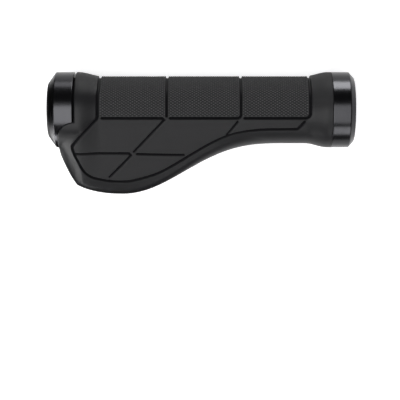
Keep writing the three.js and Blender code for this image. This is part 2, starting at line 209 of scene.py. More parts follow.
def section_radius(x, angle):
    """Radius of the outline round the tube's circle and the rim's ellipse, at an angle from the wing.
    The straight face touches the circle at the angle where the ellipse's support equals R, which is the
    root of a quadratic in its cosine."""
    reach = wing_reach(x)
    big = tube_radius(x, np.degrees(angle))
    out = np.clip((reach - TUBE_RADIUS) / (WING_REACH - TUBE_RADIUS), 0, 1)
    b = TUBE_RADIUS - (TUBE_RADIUS - RIM_RADIUS) * out**THINNING_POWER
    slant = rise(-x, -SLANT_START, SLANT_BLEND)
    # The ellipse has half axes a and b and its middle lies d from the bar's axis. Where the wing has almost
    # faded, a is held just under the reach, so that d stays above 0.
    a = np.minimum(b * (1 + (SLANT_ROUND - 1) * slant), reach - 0.01)
    d = reach - a
    turn = np.abs(angle)
    qa = a * a - b * b - d * d
    qb = 2 * big * d
    qc = b * b - big * big
    root = np.sqrt(np.maximum(qb * qb - 4 * qa * qc, 0))
    qa = np.where(np.abs(qa) < 1e-9, -1e-9, qa)
    tangent = np.arccos(np.clip((-qb + root) / (2 * qa), -1, 1))
    h = np.hypot(a * np.cos(tangent), b * np.sin(tangent))
    touch = np.arctan2(b * b * np.sin(tangent) / h, d + a * a * np.cos(tangent) / h)
    face = big / np.maximum(np.cos(turn - tangent), 0.05)
    p = (np.cos(turn) / a) ** 2 + (np.sin(turn) / b) ** 2
    q = d * np.cos(turn) / (a * a)
    rim = (q + np.sqrt(np.maximum(q * q - p * ((d / a) ** 2 - 1), 0))) / p
    radius = np.where(turn >= tangent, big, np.where(turn >= touch, face, rim))
    faded = reach <= TUBE_RADIUS + 0.0005
    return np.where(faded, big, radius)


crest_edge = float(section_radius(np.array([CREST_X]), np.array([np.pi / 2]))[0])
print("radius straight above the axis, at the crest:", round(crest_edge, 2), "mm")

# %% [markdown]
# ## Spreading the grid evenly
# Equal angles would crowd points on the tube and starve the wing. So each section is measured along its
# outline first, and the angles are then read off at equal lengths. The rows are closer together where the
# slanted end and the hood turn quickly.

# %% Rows and columns
COLUMNS = 620
HOOD_STEP, ROW_STEP, LIP_STEP = 0.13, 0.205, 0.06
LIP_END = INNER_SEAM + 0.15
FINE_ANGLES = np.linspace(-np.pi, np.pi, 1441)


def spread(stops, steps):
    """Positions from the first stop to the last, with the given step length in each stretch."""
    parts = [np.arange(a, b, s) for a, b, s in zip(stops[:-1], stops[1:], steps)]
    return np.concatenate(parts + [np.array([stops[-1]])])


def even_angles(rows):
    """Angles at equal lengths along each section, one row of angles for each x."""
    fine = section_radius(rows[:, None], FINE_ANGLES[None, :])
    y, z = fine * np.cos(FINE_ANGLES), fine * np.sin(FINE_ANGLES)
    steps = np.hypot(np.diff(y, axis=1), np.diff(z, axis=1))
    length = np.concatenate([np.zeros((len(rows), 1)), np.cumsum(steps, axis=1)], axis=1)
    targets = np.linspace(0, 1, COLUMNS, endpoint=False)
    return np.stack([np.interp(targets * one[-1], one, FINE_ANGLES) for one in length])


stops = [HOOD_END - 0.6, CORNER_X + 1.5, LIP_END - 0.3, LIP_END]
rows_x = spread(stops, [HOOD_STEP, ROW_STEP, LIP_STEP])
grid_angle = even_angles(rows_x)
grid_x = np.broadcast_to(rows_x[:, None], grid_angle.shape)
print("rubber grid", grid_angle.shape)

# %% [markdown]
# ## Grooves and knurling
# On the real grip the mould leaves grooves round each panel and a diamond knurl on the panels that the
# fingers wrap round. Both lower the surface along its own normal, by a depth that is worked out for each
# grid point from its place in the wing's plane. A groove needs the distance to the nearest groove line. The
# knurl is two crossed waves, kept clear of the grooves. Cutting the grooves with Boolean solids would also
# work, but would leave ragged meshes that shade badly.

# %% Sizes of the grooves
GROOVE_WIDTH = 1.1
SLANT_GROOVE_WIDTH = 0.9
GROOVE_DEPTH = 0.9
GROOVE_WALL = 0.2
GROOVE_EDGE = 0.1
RING_GROOVES = (-42.6, -14.2, 16.8, 45.6)
PANEL_TOP = -0.25
BRIDGE = 0.4
print("grooves round the tube at x =", RING_GROOVES)


# %% A smooth curve
def bend(points, count):
    """A smooth Catmull-Rom curve through the points, as count short lines."""
    p = np.array(points, float)
    p = np.vstack([2 * p[0] - p[1], p, 2 * p[-1] - p[-2]])
    s = np.linspace(0, len(points) - 1, count + 1)
    i = np.minimum(s.astype(int), len(points) - 2)
    t = (s - i)[:, None]
    a, b, c, d = p[i], p[i + 1], p[i + 2], p[i + 3]
    return (2 * b + (c - a) * t + (2 * a - 5 * b + 4 * c - d) * t**2 + (3 * b - a - 3 * c + d) * t**3) / 2


print("a curve through three points:", bend([(0, 0), (1, 1), (2, 0)], 4).round(2).tolist())

# %% [markdown]
# ## The network of grooves
# Each line is a list of points (x, w) in the wing's plane, as they are seen from straight above. One long
# curve follows the rim, a row of lines divides the fingers' panels from the palm's, and slanted lines cross
# the palm. Four more run round the tube. A line stops a bridge's width short of the one that it would
# meet, because the grooves of the real mould don't join there.

# %% Groove lines
rim_points = [
    (-50.8, 8.1), (-53, 10.9), (-54, 13), (-53.4, 16.5), (-51.8, 20.6), (-49.8, 24.9), (-46.9, 27.8),
    (-42.9, 29.2), (-38.9, 30), (-34.1, 30.2), (-29.5, 29.9), (-19.8, 26.9), (-12.8, 23.1), (-4.1, 17.3),
    (3.6, 12.2), (11.3, 8.1), (18.1, 6.0), (26.6, 4.95), (35.2, 4.8), (40.5, 4.7),
]
one, two, three, four = RING_GROOVES
past = GROOVE_WIDTH + BRIDGE
turn_one, turn_two = (one - 0.75, PANEL_TOP + 0.5), (two - 1.1, PANEL_TOP + 0.7)
end_three, end_four = (three - 1.2, PANEL_TOP), (four - 1.7, PANEL_TOP)
shelf_turn = (-29.5, 17.3)
wide_lines = [
    bend(rim_points, 80),
    [(one + past, PANEL_TOP), (turn_two[0] - 0.8, PANEL_TOP), turn_two],
    [(two + past, PANEL_TOP), end_three],
    [(three + past, PANEL_TOP), end_four],
    [(-53.4, 16.3), (-30.3, 16.4), shelf_turn],
    [(-26.8, 16.75), (-7.2, 17.4)],
    [turn_one, rim_points[0]],
    [(end_four[0] - 0.6, PANEL_TOP + past), rim_points[-1]],
]
slant_lines = [
    [turn_two, (-28.2, 15.6)],
    [shelf_turn, (-33.9, 22.4), (-38.9, 27.9)],
    [(end_three[0] - 0.2, PANEL_TOP + past), (10.9, 7.6)],
]
# These start at w = -40, which is past the tube, so that they run all the way round its back.
ring_lines = [
    [(one, -40), (one, -0.8 * TUBE_RADIUS), (one - 0.35, -0.65 * TUBE_RADIUS), (one - 0.35, -1), turn_one],
    [(two, -40), (two, turn_two[1] - past)],
    [(three, -40), (three, PANEL_TOP - 1.3), (three - 0.4, PANEL_TOP - 0.4), end_three],
    [(four, -40), (four, PANEL_TOP - 1.6), (four - 0.7, PANEL_TOP - 0.5), end_four],
]


def stretches(lines):
    """All straight stretches of the lines, as start and end points."""
    lines = [np.array(line, float) for line in lines]
    return np.concatenate([line[:-1] for line in lines]), np.concatenate([line[1:] for line in lines])


wide_stretches, slant_stretches = stretches(wide_lines + ring_lines), stretches(slant_lines)
print("groove stretches:", len(wide_stretches[0]) + len(slant_stretches[0]))


# %% Distance to the grooves
def line_distance(x, w, pairs):
    """Shortest distance in the wing's plane from each point to any of the stretches."""
    nearest = np.full(x.shape, 99.0)
    for (x0, w0), (x1, w1) in zip(*pairs):
        dx, dw = x1 - x0, w1 - w0
        t = np.clip(((x - x0) * dx + (w - w0) * dw) / (dx * dx + dw * dw), 0, 1)
        nearest = np.minimum(nearest, np.hypot(x - x0 - t * dx, w - w0 - t * dw))
    return nearest


def inside_outline(x, w, outline):
    """1 where a point lies inside the closed outline, by counting the sides that a ray from it crosses."""
    crossings = np.zeros(x.shape, int)
    for (x0, w0), (x1, w1) in zip(outline, np.roll(outline, -1, axis=0)):
        if w0 == w1:
            continue
        spans = (w0 > w) != (w1 > w)
        crossings += spans & (x < x0 + (w - w0) * (x1 - x0) / (w1 - w0))
    return (crossings % 2).astype(float)


plain_radius = section_radius(grid_x, grid_angle)
grid_w = plain_radius * np.cos(grid_angle)
groove_distance = np.minimum(
    line_distance(grid_x, grid_w, wide_stretches) - GROOVE_WIDTH / 2,
    line_distance(grid_x, grid_w, slant_stretches) - SLANT_GROOVE_WIDTH / 2,
)
groove = 1 - smooth((groove_distance + GROOVE_WALL) / (GROOVE_WALL + GROOVE_EDGE))
panels_outline = np.array(ring_lines[0] + rim_points + [end_four] + ring_lines[3][1::-1], float)
panels = inside_outline(grid_x, grid_w, panels_outline)
print("points in grooves:", int((groove > 0.5).sum()), "on panels:", int(panels.sum()))

# %% [markdown]
# ## Knurl, hood and edges
# The knurl could be a bump in the material, but then the grip's outline would stay smooth, so it is cut in
# the mesh. Over the wing the rubber runs on as a hood above the outer ring, and ends there in a quarter
# ellipse. The distance inside that end rounds the hood's edge. Points past the end move in to a radius
# inside the ring's metal, where they aren't seen.

# %% Sizes of the knurl and the edges
KNURL_ALONG = 1.775
KNURL_ROUND = 1.19
KNURL_HEIGHT = 0.3
KNURL_MARGIN = 0.15
KNURL_FADE = 0.3
KNURL_LIMIT = 0.5
HOOD_EDGE = 0.6
LIP_EDGE = 0.15
HIDDEN_RADIUS = 13.4
SKIN = 0.02
BORE_RADIUS = 12.7
print("diamonds of", KNURL_ALONG, "by", KNURL_ROUND, "mm")


# %% Knurl and hood
def knurl_height(x, angle):
    """Diamonds of height 0 to 1: the lower of two triangle waves that slant both ways round the tube."""
    round_length = angle * TUBE_RADIUS
    waves = []
    for side in (1, -1):
        phase = x / KNURL_ALONG + side * round_length / KNURL_ROUND
        waves.append(np.abs((phase % 1) * 2 - 1))
    return np.minimum(*waves)


def hood_distance(x, w, n):
    """Distance inside the rubber's outer boundary, in the wing's plane: the seam's plane, or the quarter
    ellipse of the hood, whichever holds more rubber."""
    start = np.where(n > 0, HOOD_START, HOOD_UNDER_START)
    length = OUTER_SEAM - HOOD_END
    along = np.minimum((x - OUTER_SEAM) / length, 0)
    across = np.minimum((w - start - HOOD_CORNER) / HOOD_CORNER, 0)
    size = np.hypot(along, across)
    slope = np.hypot(along / length, across / HOOD_CORNER) / np.maximum(size, 1e-6)
    inside = (1 - size) / np.maximum(slope, 1e-3)
    return np.maximum(x - OUTER_SEAM, np.minimum(inside, 5))


hood_tip = hood_distance(np.array([HOOD_END + 1]), np.array([20.0]), np.array([5.0]))
print("a point 1 mm from the hood's end lies", round(float(hood_tip[0]), 2), "mm inside it")

# %% Depth of every point
grid_n = plain_radius * np.sin(grid_angle)
panel = rise(groove_distance, KNURL_MARGIN, KNURL_FADE) * rise(-grid_w, KNURL_LIMIT, 0.5)
panel *= rise(grid_x, RING_GROOVES[0], KNURL_FADE) * rise(-grid_x, -RING_GROOVES[3], KNURL_FADE)
knurl = knurl_height(grid_x, grid_angle)
inside = hood_distance(grid_x, grid_w, grid_n)
edge = np.clip(1 - inside / HOOD_EDGE, 0, 1)
rounding = HOOD_EDGE * (1 - np.sqrt(1 - edge**2))
lip = np.clip(1 - (LIP_END - grid_x) / LIP_EDGE, 0, 1)
rounding = rounding + LIP_EDGE * (1 - np.sqrt(np.maximum(1 - lip**2, 0)))
depth = SKIN + GROOVE_DEPTH * groove + KNURL_HEIGHT * (1 - knurl) * panel
print("knurled share of the grid:", round(float(panel.mean()), 3))

# %% [markdown]
# ## The rubber's points and normals
# The depth is taken off along the normals of the plain form, so a groove's walls stand upright on the wing
# as well as on the tube. The finished grid's own normals are kept too, because the mesh will be cut up.


# %% Points and normals of the rubber
def grid_normals(points):
    """Normals of a grid closed round its columns: the cross product of the two grid directions."""
    along = np.gradient(points, axis=0)
    around = np.roll(points, -1, axis=1) - np.roll(points, 1, axis=1)
    normal = np.cross(along, around)
    return normal / np.maximum(np.linalg.norm(normal, axis=-1, keepdims=True), 1e-12)


def rubber_surface(radius):
    """The grid's points at that radius, in metres."""
    return to_metres(grid_x, radius * np.cos(grid_angle), radius * np.sin(grid_angle))


plain_points = rubber_surface(plain_radius - rounding)
plain_normals = grid_normals(rubber_surface(plain_radius))
rubber_points = plain_points - plain_normals * depth[..., None] / 1000
rubber_points = np.where(inside[..., None] > 0, rubber_points, rubber_surface(HIDDEN_RADIUS))
rubber_normals = grid_normals(rubber_points)
print("rubber surface", rubber_points.shape)

# %% [markdown]
# ## What the rubber's material needs to know
# The material can't tell a groove from a panel, so four values are stored at each point. groove is 1 in a
# groove and on the hood's hidden side, which both get painted shade, and lower behind, where painted light
# pales the grooves. panel is 1 on the knurled panels and knurl is 1 in the valleys between the diamonds,
# which get painted shade. matt is 1 on all the panels, and less on the back of the two flares, where the
# rubber is half dull.

# %% Values for the material
FLARE_GAP, FLARE_FADE, BACK_FADE = 0.4, 1.2, 4
PAINTED_LIGHT_START, PAINTED_LIGHT_SHARE = 8.5, 0.75
INNER_BACK_START, INNER_BACK_SHARE = 4, 0.75
OUTER_BACK_START, OUTER_BACK_SHARE = 9, 0.5
# Painted shade fills the grooves and the hood's hidden side; towards the back it fades, as painted light.
painted_light_behind = rise(-grid_w, PAINTED_LIGHT_START, BACK_FADE)
painted_groove_shade = np.where(inside > 0, groove * (1 - PAINTED_LIGHT_SHARE * painted_light_behind), 1)
inner_back = rise(grid_x, RING_GROOVES[3] + FLARE_GAP, FLARE_FADE)
inner_back = inner_back * rise(-grid_w, INNER_BACK_START, BACK_FADE)
outer_back = rise(-grid_x, FLARE_GAP - RING_GROOVES[0], FLARE_FADE)
outer_back = outer_back * rise(-grid_w, OUTER_BACK_START, BACK_FADE)
matt_share = np.maximum(panels, INNER_BACK_SHARE * inner_back + OUTER_BACK_SHARE * outer_back)
rubber_values = {"groove": painted_groove_shade, "knurl": panel * (1 - knurl), "panel": panel, "matt": matt_share}
print("dull share of the grid:", round(float(matt_share.mean()), 3))

# %% [markdown]
# ## The rubber as four pieces
# The grid has over 700,000 triangles, so it becomes four pieces side by side along the bar. Each one closes
# round its share of the bore. Their normals come from the whole grid, so light runs over the joins with no
# line to see.


# %% Four pieces
def bore_row(row):
    """The points of a row moved in to the bore, and their normals, which face the axis."""
    angle = grid_angle[row]
    points = to_metres(grid_x[row], BORE_RADIUS * np.cos(angle), BORE_RADIUS * np.sin(angle))
    centre_line = to_metres(grid_x[row], 0 * angle, 0 * angle)
    return points, (centre_line - points) * 1000 / BORE_RADIUS


rubber_pieces = []
cuts = np.linspace(0, len(grid_x) - 1, 5).astype(int)
for number, (first, last) in enumerate(zip(cuts[:-1], cuts[1:])):
    part = slice(first, last + 1)
    ends = [bore_row(last), bore_row(first)]
    points = np.concatenate([rubber_points[part]] + [end[0][None] for end in ends])
    normals = np.concatenate([rubber_normals[part]] + [end[1][None] for end in ends])
    blank = np.zeros((2, COLUMNS))
    values = {key: np.concatenate([value[part], blank]) for key, value in rubber_values.items()}
    faces = grid_faces(len(points), COLUMNS, ring=True)[:, ::-1]
    rubber_pieces.append(fill_mesh(f"rubber_{number + 1}", points.reshape(-1, 3), faces, normals, values))

# %% [markdown]
# ## The clamp rings
# Each ring is turned aluminium with a slit and a pocket for the bolt. A profile carried round the axis
# makes it: the angle runs from one side of the slit to the other, so the slit is simply where the surface
# ends. The pocket and the bolt's hole lower the outer face wherever a point lies inside their cylinders. A
# Screw modifier and Boolean cuts could do the same, but their edges are harder to round evenly.
# FACE_SHIFT moves the faces beside the rubber a little, because the inner seam is tight and the outer one
# wide on the real grip. RING_FACE is a hair under the nominal radius, which keeps the turned face inside
# the box of the CAD model.

# %% Sizes of the rings
FACE_SHIFT = 0.25
INNER_WIDTH = 9.35 + FACE_SHIFT
OUTER_WIDTH = 10.45 - FACE_SHIFT
RING_FACE = RING_RADIUS - 0.01
INNER_CHAMFER = 2.2
OUTER_CHAMFER = 2.5
INNER_END_RADIUS = 13.5
OUTER_END_RADIUS = 12.6
RING_BORE = 11.15
CAP_SEAT = 12.35
CAP_RECESS = 0.8
SLIT_HALF = 0.6
SLIT_ANGLE = math.radians(262)
BOLT_SEAT = 2.3
HEAD_ROOM = 2.3
BOLT_OFFSET = HEAD_ROOM + math.sqrt((RING_BORE + 0.25) ** 2 - BOLT_SEAT**2)
HOLE_ROOM = 1.45
LUG_RADIUS = 12.85
LUG_DEPTH = 3.65
print("bolt axis", round(BOLT_OFFSET, 2), "mm from the bar's axis")


# %% Rounding and filling profiles
def rounded(corners, radii, steps=5):
    """Profile through the corners, each rounded by a quadratic curve that starts a radius before it."""
    p = np.array(corners, float)
    out = []
    for i, r in enumerate(radii):
        here = p[i]
        if r == 0:
            out.append(here[None])
            continue
        before, after = p[i - 1], p[(i + 1) % len(p)]
        a = here + (before - here) * r / np.hypot(*(before - here))
        b = here + (after - here) * r / np.hypot(*(after - here))
        t = np.linspace(0, 1, steps)[:, None]
        out.append((1 - t) ** 2 * a + 2 * t * (1 - t) * here + t**2 * b)
    return np.concatenate(out)


def fill_in(profile, step):
    """The profile with points added so that none of its stretches is longer than step."""
    out = []
    for a, b in zip(profile, np.roll(profile, -1, axis=0)):
        count = max(int(np.ceil(np.hypot(*(b - a)) / step)), 1)
        out.append(a + (b - a) * np.arange(count)[:, None] / count)
    return np.concatenate(out)


def placed(profile, face, side):
    """A profile of (distance from the face beside the rubber, radius), placed at that face. The side is 1
    to go on along the bar and -1 to go back."""
    return np.stack([face + side * profile[:, 0], profile[:, 1]], axis=1)


square = rounded([(0, 0), (1, 0), (1, 1), (0, 1)], [0, 0.2, 0.2, 0])
print("a square with two round corners:", len(square), "points,", len(fill_in(square, 0.1)), "once filled")

# %% Ring profiles
inner_corners = [
    (0, LUG_RADIUS), (0, RING_FACE), (INNER_WIDTH - INNER_CHAMFER, RING_FACE),
    (INNER_WIDTH, INNER_END_RADIUS), (INNER_WIDTH, RING_BORE), (LUG_DEPTH, RING_BORE),
    (LUG_DEPTH, LUG_RADIUS),
]
inner_profile = rounded(inner_corners, [0, 0.15, 0.3, 0.3, 0.25, 0, 0])
outer_corners = [
    (0, LUG_RADIUS), (0, RING_FACE), (OUTER_WIDTH - OUTER_CHAMFER, RING_FACE),
    (OUTER_WIDTH, OUTER_END_RADIUS), (OUTER_WIDTH, CAP_SEAT),
    (OUTER_WIDTH - CAP_RECESS, CAP_SEAT), (OUTER_WIDTH - CAP_RECESS, RING_BORE), (LUG_DEPTH, RING_BORE),
    (LUG_DEPTH, LUG_RADIUS),
]
outer_profile = rounded(outer_corners, [0, 0.25, 0.3, 0.1, 0.1, 0, 0, 0, 0])
print("profile points:", len(inner_profile), len(outer_profile))


# %% Ring surface
NEAR_SHARE = 0.14
PAST_RING = 20
HOLE_START = -7
FACE_BAND = 0.6
POCKET_WALL = 0.2
RING_STEP = 0.28


def ring_turns():
    """Shares of the way round from one side of the slit to the other, closer together near it."""
    near = np.linspace(0, NEAR_SHARE, 96)
    far = np.linspace(NEAR_SHARE, 1 - NEAR_SHARE, 230)
    return np.concatenate([near[:-1], far, 1 - near[::-1][1:]])


def trough(u, t, across, room, low, high):
    """Depth that a cylinder of that room along the bolt leaves: the radius of its floor where a point
    lies beside the bolt's axis and between low and high along it, and infinity elsewhere."""
    floor = BOLT_OFFSET - np.sqrt(np.maximum(room**2 - across**2, 0))
    turn = np.arctan2(t, u)
    held = (np.abs(across) < room) & (t > low) & (t < high) & (u > 0)
    return np.where(held, floor / np.maximum(np.cos(turn), 0.1), np.inf)


def make_ring(name, profile, middle):
    """A profile carried round the axis: x and r from the profile, and the angle from slit to slit."""
    profile = fill_in(profile, RING_STEP)
    x, r = profile[:, 0][None, :], profile[:, 1][None, :]
    half = np.arcsin(SLIT_HALF / r)
    turn = half + (2 * np.pi - 2 * half) * ring_turns()[:, None]
    u, t = r * np.cos(turn), r * np.sin(turn)
    across = np.broadcast_to(x - middle, u.shape)
    floor = np.minimum(
        trough(u, t, across, HEAD_ROOM, BOLT_SEAT, PAST_RING),
        trough(u, t, across, HOLE_ROOM, -PAST_RING, HOLE_START),
    )
    outside = r > RING_RADIUS - FACE_BAND
    r = np.where(outside & (floor < r), np.maximum(floor, RING_BORE + POCKET_WALL), r)
    angle = SLIT_ANGLE - turn
    points = to_metres(np.broadcast_to(x, r.shape), r * np.cos(angle), r * np.sin(angle))
    ring = fill_mesh(name, points.reshape(-1, 3), grid_faces(*r.shape))
    return ring, *r.shape


def close_slit(ring, rows, columns):
    """Fills the two sides of the slit with one many-sided face each, and turns all faces outwards."""
    sides = [range(columns), range((rows - 1) * columns, rows * columns)[::-1]]
    work = bmesh.new()
    work.from_mesh(ring.data)
    work.verts.ensure_lookup_table()
    for side in sides:
        work.faces.new([work.verts[i] for i in side])
    bmesh.ops.recalc_face_normals(work, faces=work.faces[:])
    work.to_mesh(ring.data)
    work.free()
    ring.data.set_sharp_from_angle(angle=math.radians(40))
    return ring


# %% Both rings
inner_face, outer_face = INNER_SEAM + SEAM_GAP - FACE_SHIFT, OUTER_SEAM - SEAM_GAP - FACE_SHIFT
inner_middle = inner_face + (INNER_WIDTH - INNER_CHAMFER) / 2
outer_middle = outer_face - (OUTER_WIDTH - OUTER_CHAMFER) / 2
inner_ring = close_slit(*make_ring("inner_ring", placed(inner_profile, inner_face, 1), inner_middle))
outer_ring = close_slit(*make_ring("outer_ring", placed(outer_profile, outer_face, -1), outer_middle))
print("rings from x =", round(outer_face - OUTER_WIDTH, 2), "to", round(inner_face + INNER_WIDTH, 2), "mm")

# %% [markdown]
# ## End cap and sleeve
# The cap is a moulded plug in the end of the outer ring: its face is a little domed and its edge is round.
# It is a turned shape, so one profile carried round the bar's axis makes it, as the Spin tool would by
# hand. The sleeve shows only inside the bore, so its CAD solid is kept as it is and only gets a material.


# %% Turned pieces
def weld(piece, degrees):
    """Merges the points that meet at a pole, turns all faces outwards, and keeps edges sharp where faces
    meet at more than that angle."""
    work = bmesh.new()
    work.from_mesh(piece.data)
    bmesh.ops.remove_doubles(work, verts=work.verts[:], dist=1e-7)
    bmesh.ops.recalc_face_normals(work, faces=work.faces[:])
    work.to_mesh(piece.data)
    work.free()
    piece.data.set_sharp_from_angle(angle=math.radians(degrees))
    return piece


def make_turned(name, profile, turns=180):
    """A profile of (x, r) carried round the bar's axis. A radius of 0 closes to a point."""
    x, r = np.array(profile, float).T
    angle = np.linspace(0, 2 * np.pi, turns, endpoint=False)[:, None]
    points = to_metres(np.broadcast_to(x, (turns, len(x))), r * np.cos(angle), r * np.sin(angle))
    points = points.transpose(1, 0, 2).reshape(-1, 3)
    return weld(fill_mesh(name, points, grid_faces(len(x), turns)), 40)


# %% End cap
CAP_RADIUS = 12.2
CAP_PROUD = 1.5
CAP_ROUND = 1.1
CAP_DOME = 0.7
SPIGOT_RADIUS = 10.6
SPIGOT_LENGTH = 3
outer_end = outer_face - OUTER_WIDTH
cap_back, cap_front = outer_end + CAP_RECESS, outer_end - CAP_PROUD
corner = np.linspace(0, np.pi / 2, 12)
rounding_x = cap_front + CAP_DOME + CAP_ROUND * (1 - np.sin(corner))
rounding_r = CAP_RADIUS - CAP_ROUND * (1 - np.cos(corner))
dome_r = np.linspace(CAP_RADIUS - CAP_ROUND, 0, 12)[1:]
dome_x = cap_front + CAP_DOME * (dome_r / (CAP_RADIUS - CAP_ROUND)) ** 2
cap_profile = np.concatenate([
    [(cap_back + SPIGOT_LENGTH, 0), (cap_back + SPIGOT_LENGTH, SPIGOT_RADIUS - 0.3)],
    [(cap_back + SPIGOT_LENGTH - 0.3, SPIGOT_RADIUS), (cap_back, SPIGOT_RADIUS), (cap_back, CAP_RADIUS)],
    np.stack([rounding_x, rounding_r], axis=1),
    np.stack([dome_x, dome_r], axis=1),
])
cap = make_turned("outer_cap", cap_profile)

# %% [markdown]
# ## Clamp bolts
# The bolts lie on the hidden side of the rings. Each is turned round its own axis, which runs across the
# slit, and has a six-sided socket. The thread is a small helical wave on the shank. Head, socket and thread
# come from one array, so that they need no cutting and joining.

# %% Bolt profile
BOLT_RADIUS = 1.25
HEAD_RADIUS = 2.1
HEAD_HEIGHT = 1.9
SOCKET_ACROSS = 2.0
SOCKET_DEPTH = 1.0
BOLT_REACH = 6.0
THREAD_PITCH = 0.45
THREAD_HEIGHT = 0.1


def bolt_profile():
    """Rows of height along the bolt, radius, 1 for a row of the socket and 1 for a row of the thread, from
    the tip to the socket's floor."""
    shank = np.linspace(-BOLT_REACH + 0.3, BOLT_SEAT, 100)
    top = BOLT_SEAT + HEAD_HEIGHT
    rows = [(-BOLT_REACH, 0, 0, 0), (-BOLT_REACH, BOLT_RADIUS - 0.3, 0, 0)]
    rows += [(h, BOLT_RADIUS, 0, 1) for h in shank]
    rows += [(BOLT_SEAT, HEAD_RADIUS, 0, 0), (top - 0.25, HEAD_RADIUS, 0, 0)]
    rows += [(top, HEAD_RADIUS - 0.25, 0, 0)]
    socket = SOCKET_ACROSS / 2
    rows += [(top, socket * 1.25, 0, 0), (top, socket, 1, 0), (top - SOCKET_DEPTH, socket, 1, 0)]
    rows += [(top - SOCKET_DEPTH - 0.3, 0, 0, 0)]
    return np.array(rows)


print("rows of the bolt's profile:", len(bolt_profile()))


# %% Bolts
def make_bolt(name, middle, turns=48):
    """A turned profile whose socket rows follow a hexagon, 1 / cos of the angle from each flat's middle,
    and whose shank carries a triangle wave that climbs one pitch in each turn."""
    height, radius, hexagon, thread = bolt_profile().T[:, :, None]
    angle = np.linspace(0, 2 * np.pi, turns, endpoint=False)[None, :]
    flat = (angle + np.pi / 6) % (np.pi / 3) - np.pi / 6
    r = radius * np.where(hexagon > 0, 1 / np.cos(flat), 1)
    wave = np.abs(((height / THREAD_PITCH + angle / (2 * np.pi)) % 1) * 2 - 1)
    r = r - thread * THREAD_HEIGHT * wave
    along = np.broadcast_to(height, r.shape)
    across, u = r * np.cos(angle), BOLT_OFFSET + r * np.sin(angle)
    w = u * math.cos(SLIT_ANGLE) + along * math.sin(SLIT_ANGLE)
    n = u * math.sin(SLIT_ANGLE) - along * math.cos(SLIT_ANGLE)
    points = to_metres(middle + across, w, n)
    return weld(fill_mesh(name, points.reshape(-1, 3), grid_faces(*r.shape)), 35)


inner_bolt = make_bolt("inner_bolt", inner_middle)
outer_bolt = make_bolt("outer_bolt", outer_middle)
print("bolts at x =", round(inner_middle, 2), "and", round(outer_middle, 2), "mm")

# %% [markdown]
# ## Pieces and the frame
# Each piece rides on the one body of the frame, and the CAD solid that it stands for is hidden.

# %% Hand the pieces to the frame
for piece in rubber_pieces:
    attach(piece, "root")
    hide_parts("rubber_grip")
for piece, node, finish in (
    (inner_ring, "inner_clamp_ring", "anodised_ring"),
    (outer_ring, "outer_clamp_ring", "anodised_ring"),
    (inner_bolt, "inner_clamp_bolt", "bolt_steel"),
    (outer_bolt, "outer_clamp_bolt", "bolt_steel"),
    (cap, "end_cap", "cap_plastic"),
):
    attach(piece, "root")
    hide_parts(node)
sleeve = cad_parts["core_sleeve"]
print("visual pieces:", len(rubber_pieces) + 5, "and the CAD sleeve")

# %% [markdown]
# ## Writing materials as sums
# A material is a network of nodes. To keep the maths readable, a small class wraps a socket, and an
# expression such as `1 - mask * 0.5` adds the Math nodes by itself.


# %% Shader helper
class Value:
    """A socket of a node tree that can be added, subtracted and multiplied, also with plain numbers."""

    def __init__(self, shader, socket):
        self.shader, self.socket = shader, socket

    def _math(self, operation, a, b):
        return self.shader.node("ShaderNodeMath", {"operation": operation}, {0: a, 1: b})

    def __add__(self, other):
        return self._math("ADD", self, other)

    def __sub__(self, other):
        return self._math("SUBTRACT", self, other)

    def __rsub__(self, other):
        return self._math("SUBTRACT", other, self)

    def __mul__(self, other):
        return self._math("MULTIPLY", self, other)

    __radd__, __rmul__ = __add__, __mul__


class Shader:
    """A material's node tree with one Principled shader."""

    def __init__(self, name, **constants):
        self.material = bpy.data.materials.new(name)
        self.material.use_nodes = True
        self.tree = self.material.node_tree
        self.bsdf = self.tree.nodes["Principled BSDF"]
        for key, value in constants.items():
            self.bsdf.inputs[key.replace("_", " ")].default_value = value

    def node(self, kind, settings=None, inputs=None, output=0):
        """Any node: its settings first, then the values or links of its sockets."""
        made = self.tree.nodes.new(kind)
        for key, value in (settings or {}).items():
            setattr(made, key, value)
        for key, value in (inputs or {}).items():
            self.set(made.inputs[key], value)
        return Value(self, made.outputs[output])

    def set(self, socket, value):
        """Links a Value to a socket, or writes a plain number or colour on it."""
        if isinstance(value, Value):
            self.tree.links.new(value.socket, socket)
        else:
            socket.default_value = value

    def feed(self, **inputs):
        """Sets sockets of the Principled shader."""
        for key, value in inputs.items():
            self.set(self.bsdf.inputs[key.replace("_", " ")], value)

    def place(self):
        """Object coordinates, which are metres in the row's frame."""
        return self.node("ShaderNodeTexCoord", output="Object")

    def attribute(self, name):
        """A named value of the mesh, between 0 and 1."""
        return self.node("ShaderNodeAttribute", {"attribute_name": name}, output="Fac")

    def noise(self, scale, detail=3.0, roughness=0.5):
        """Soft noise of about that many blobs a metre."""
        inputs = {"Vector": self.place(), "Scale": scale, "Detail": detail, "Roughness": roughness}
        return self.node("ShaderNodeTexNoise", {}, inputs, output="Fac")

    def blend(self, factor, dark, light):
        """A colour between two, by a factor."""
        return self.node("ShaderNodeMix", {"data_type": "RGBA"}, {0: factor, 6: dark, 7: light}, output=2)

    def bump(self, height, strength, distance):
        """A normal tilted by the slope of a height."""
        inputs = {"Strength": strength, "Distance": distance, "Height": height}
        return self.node("ShaderNodeBump", {}, inputs)
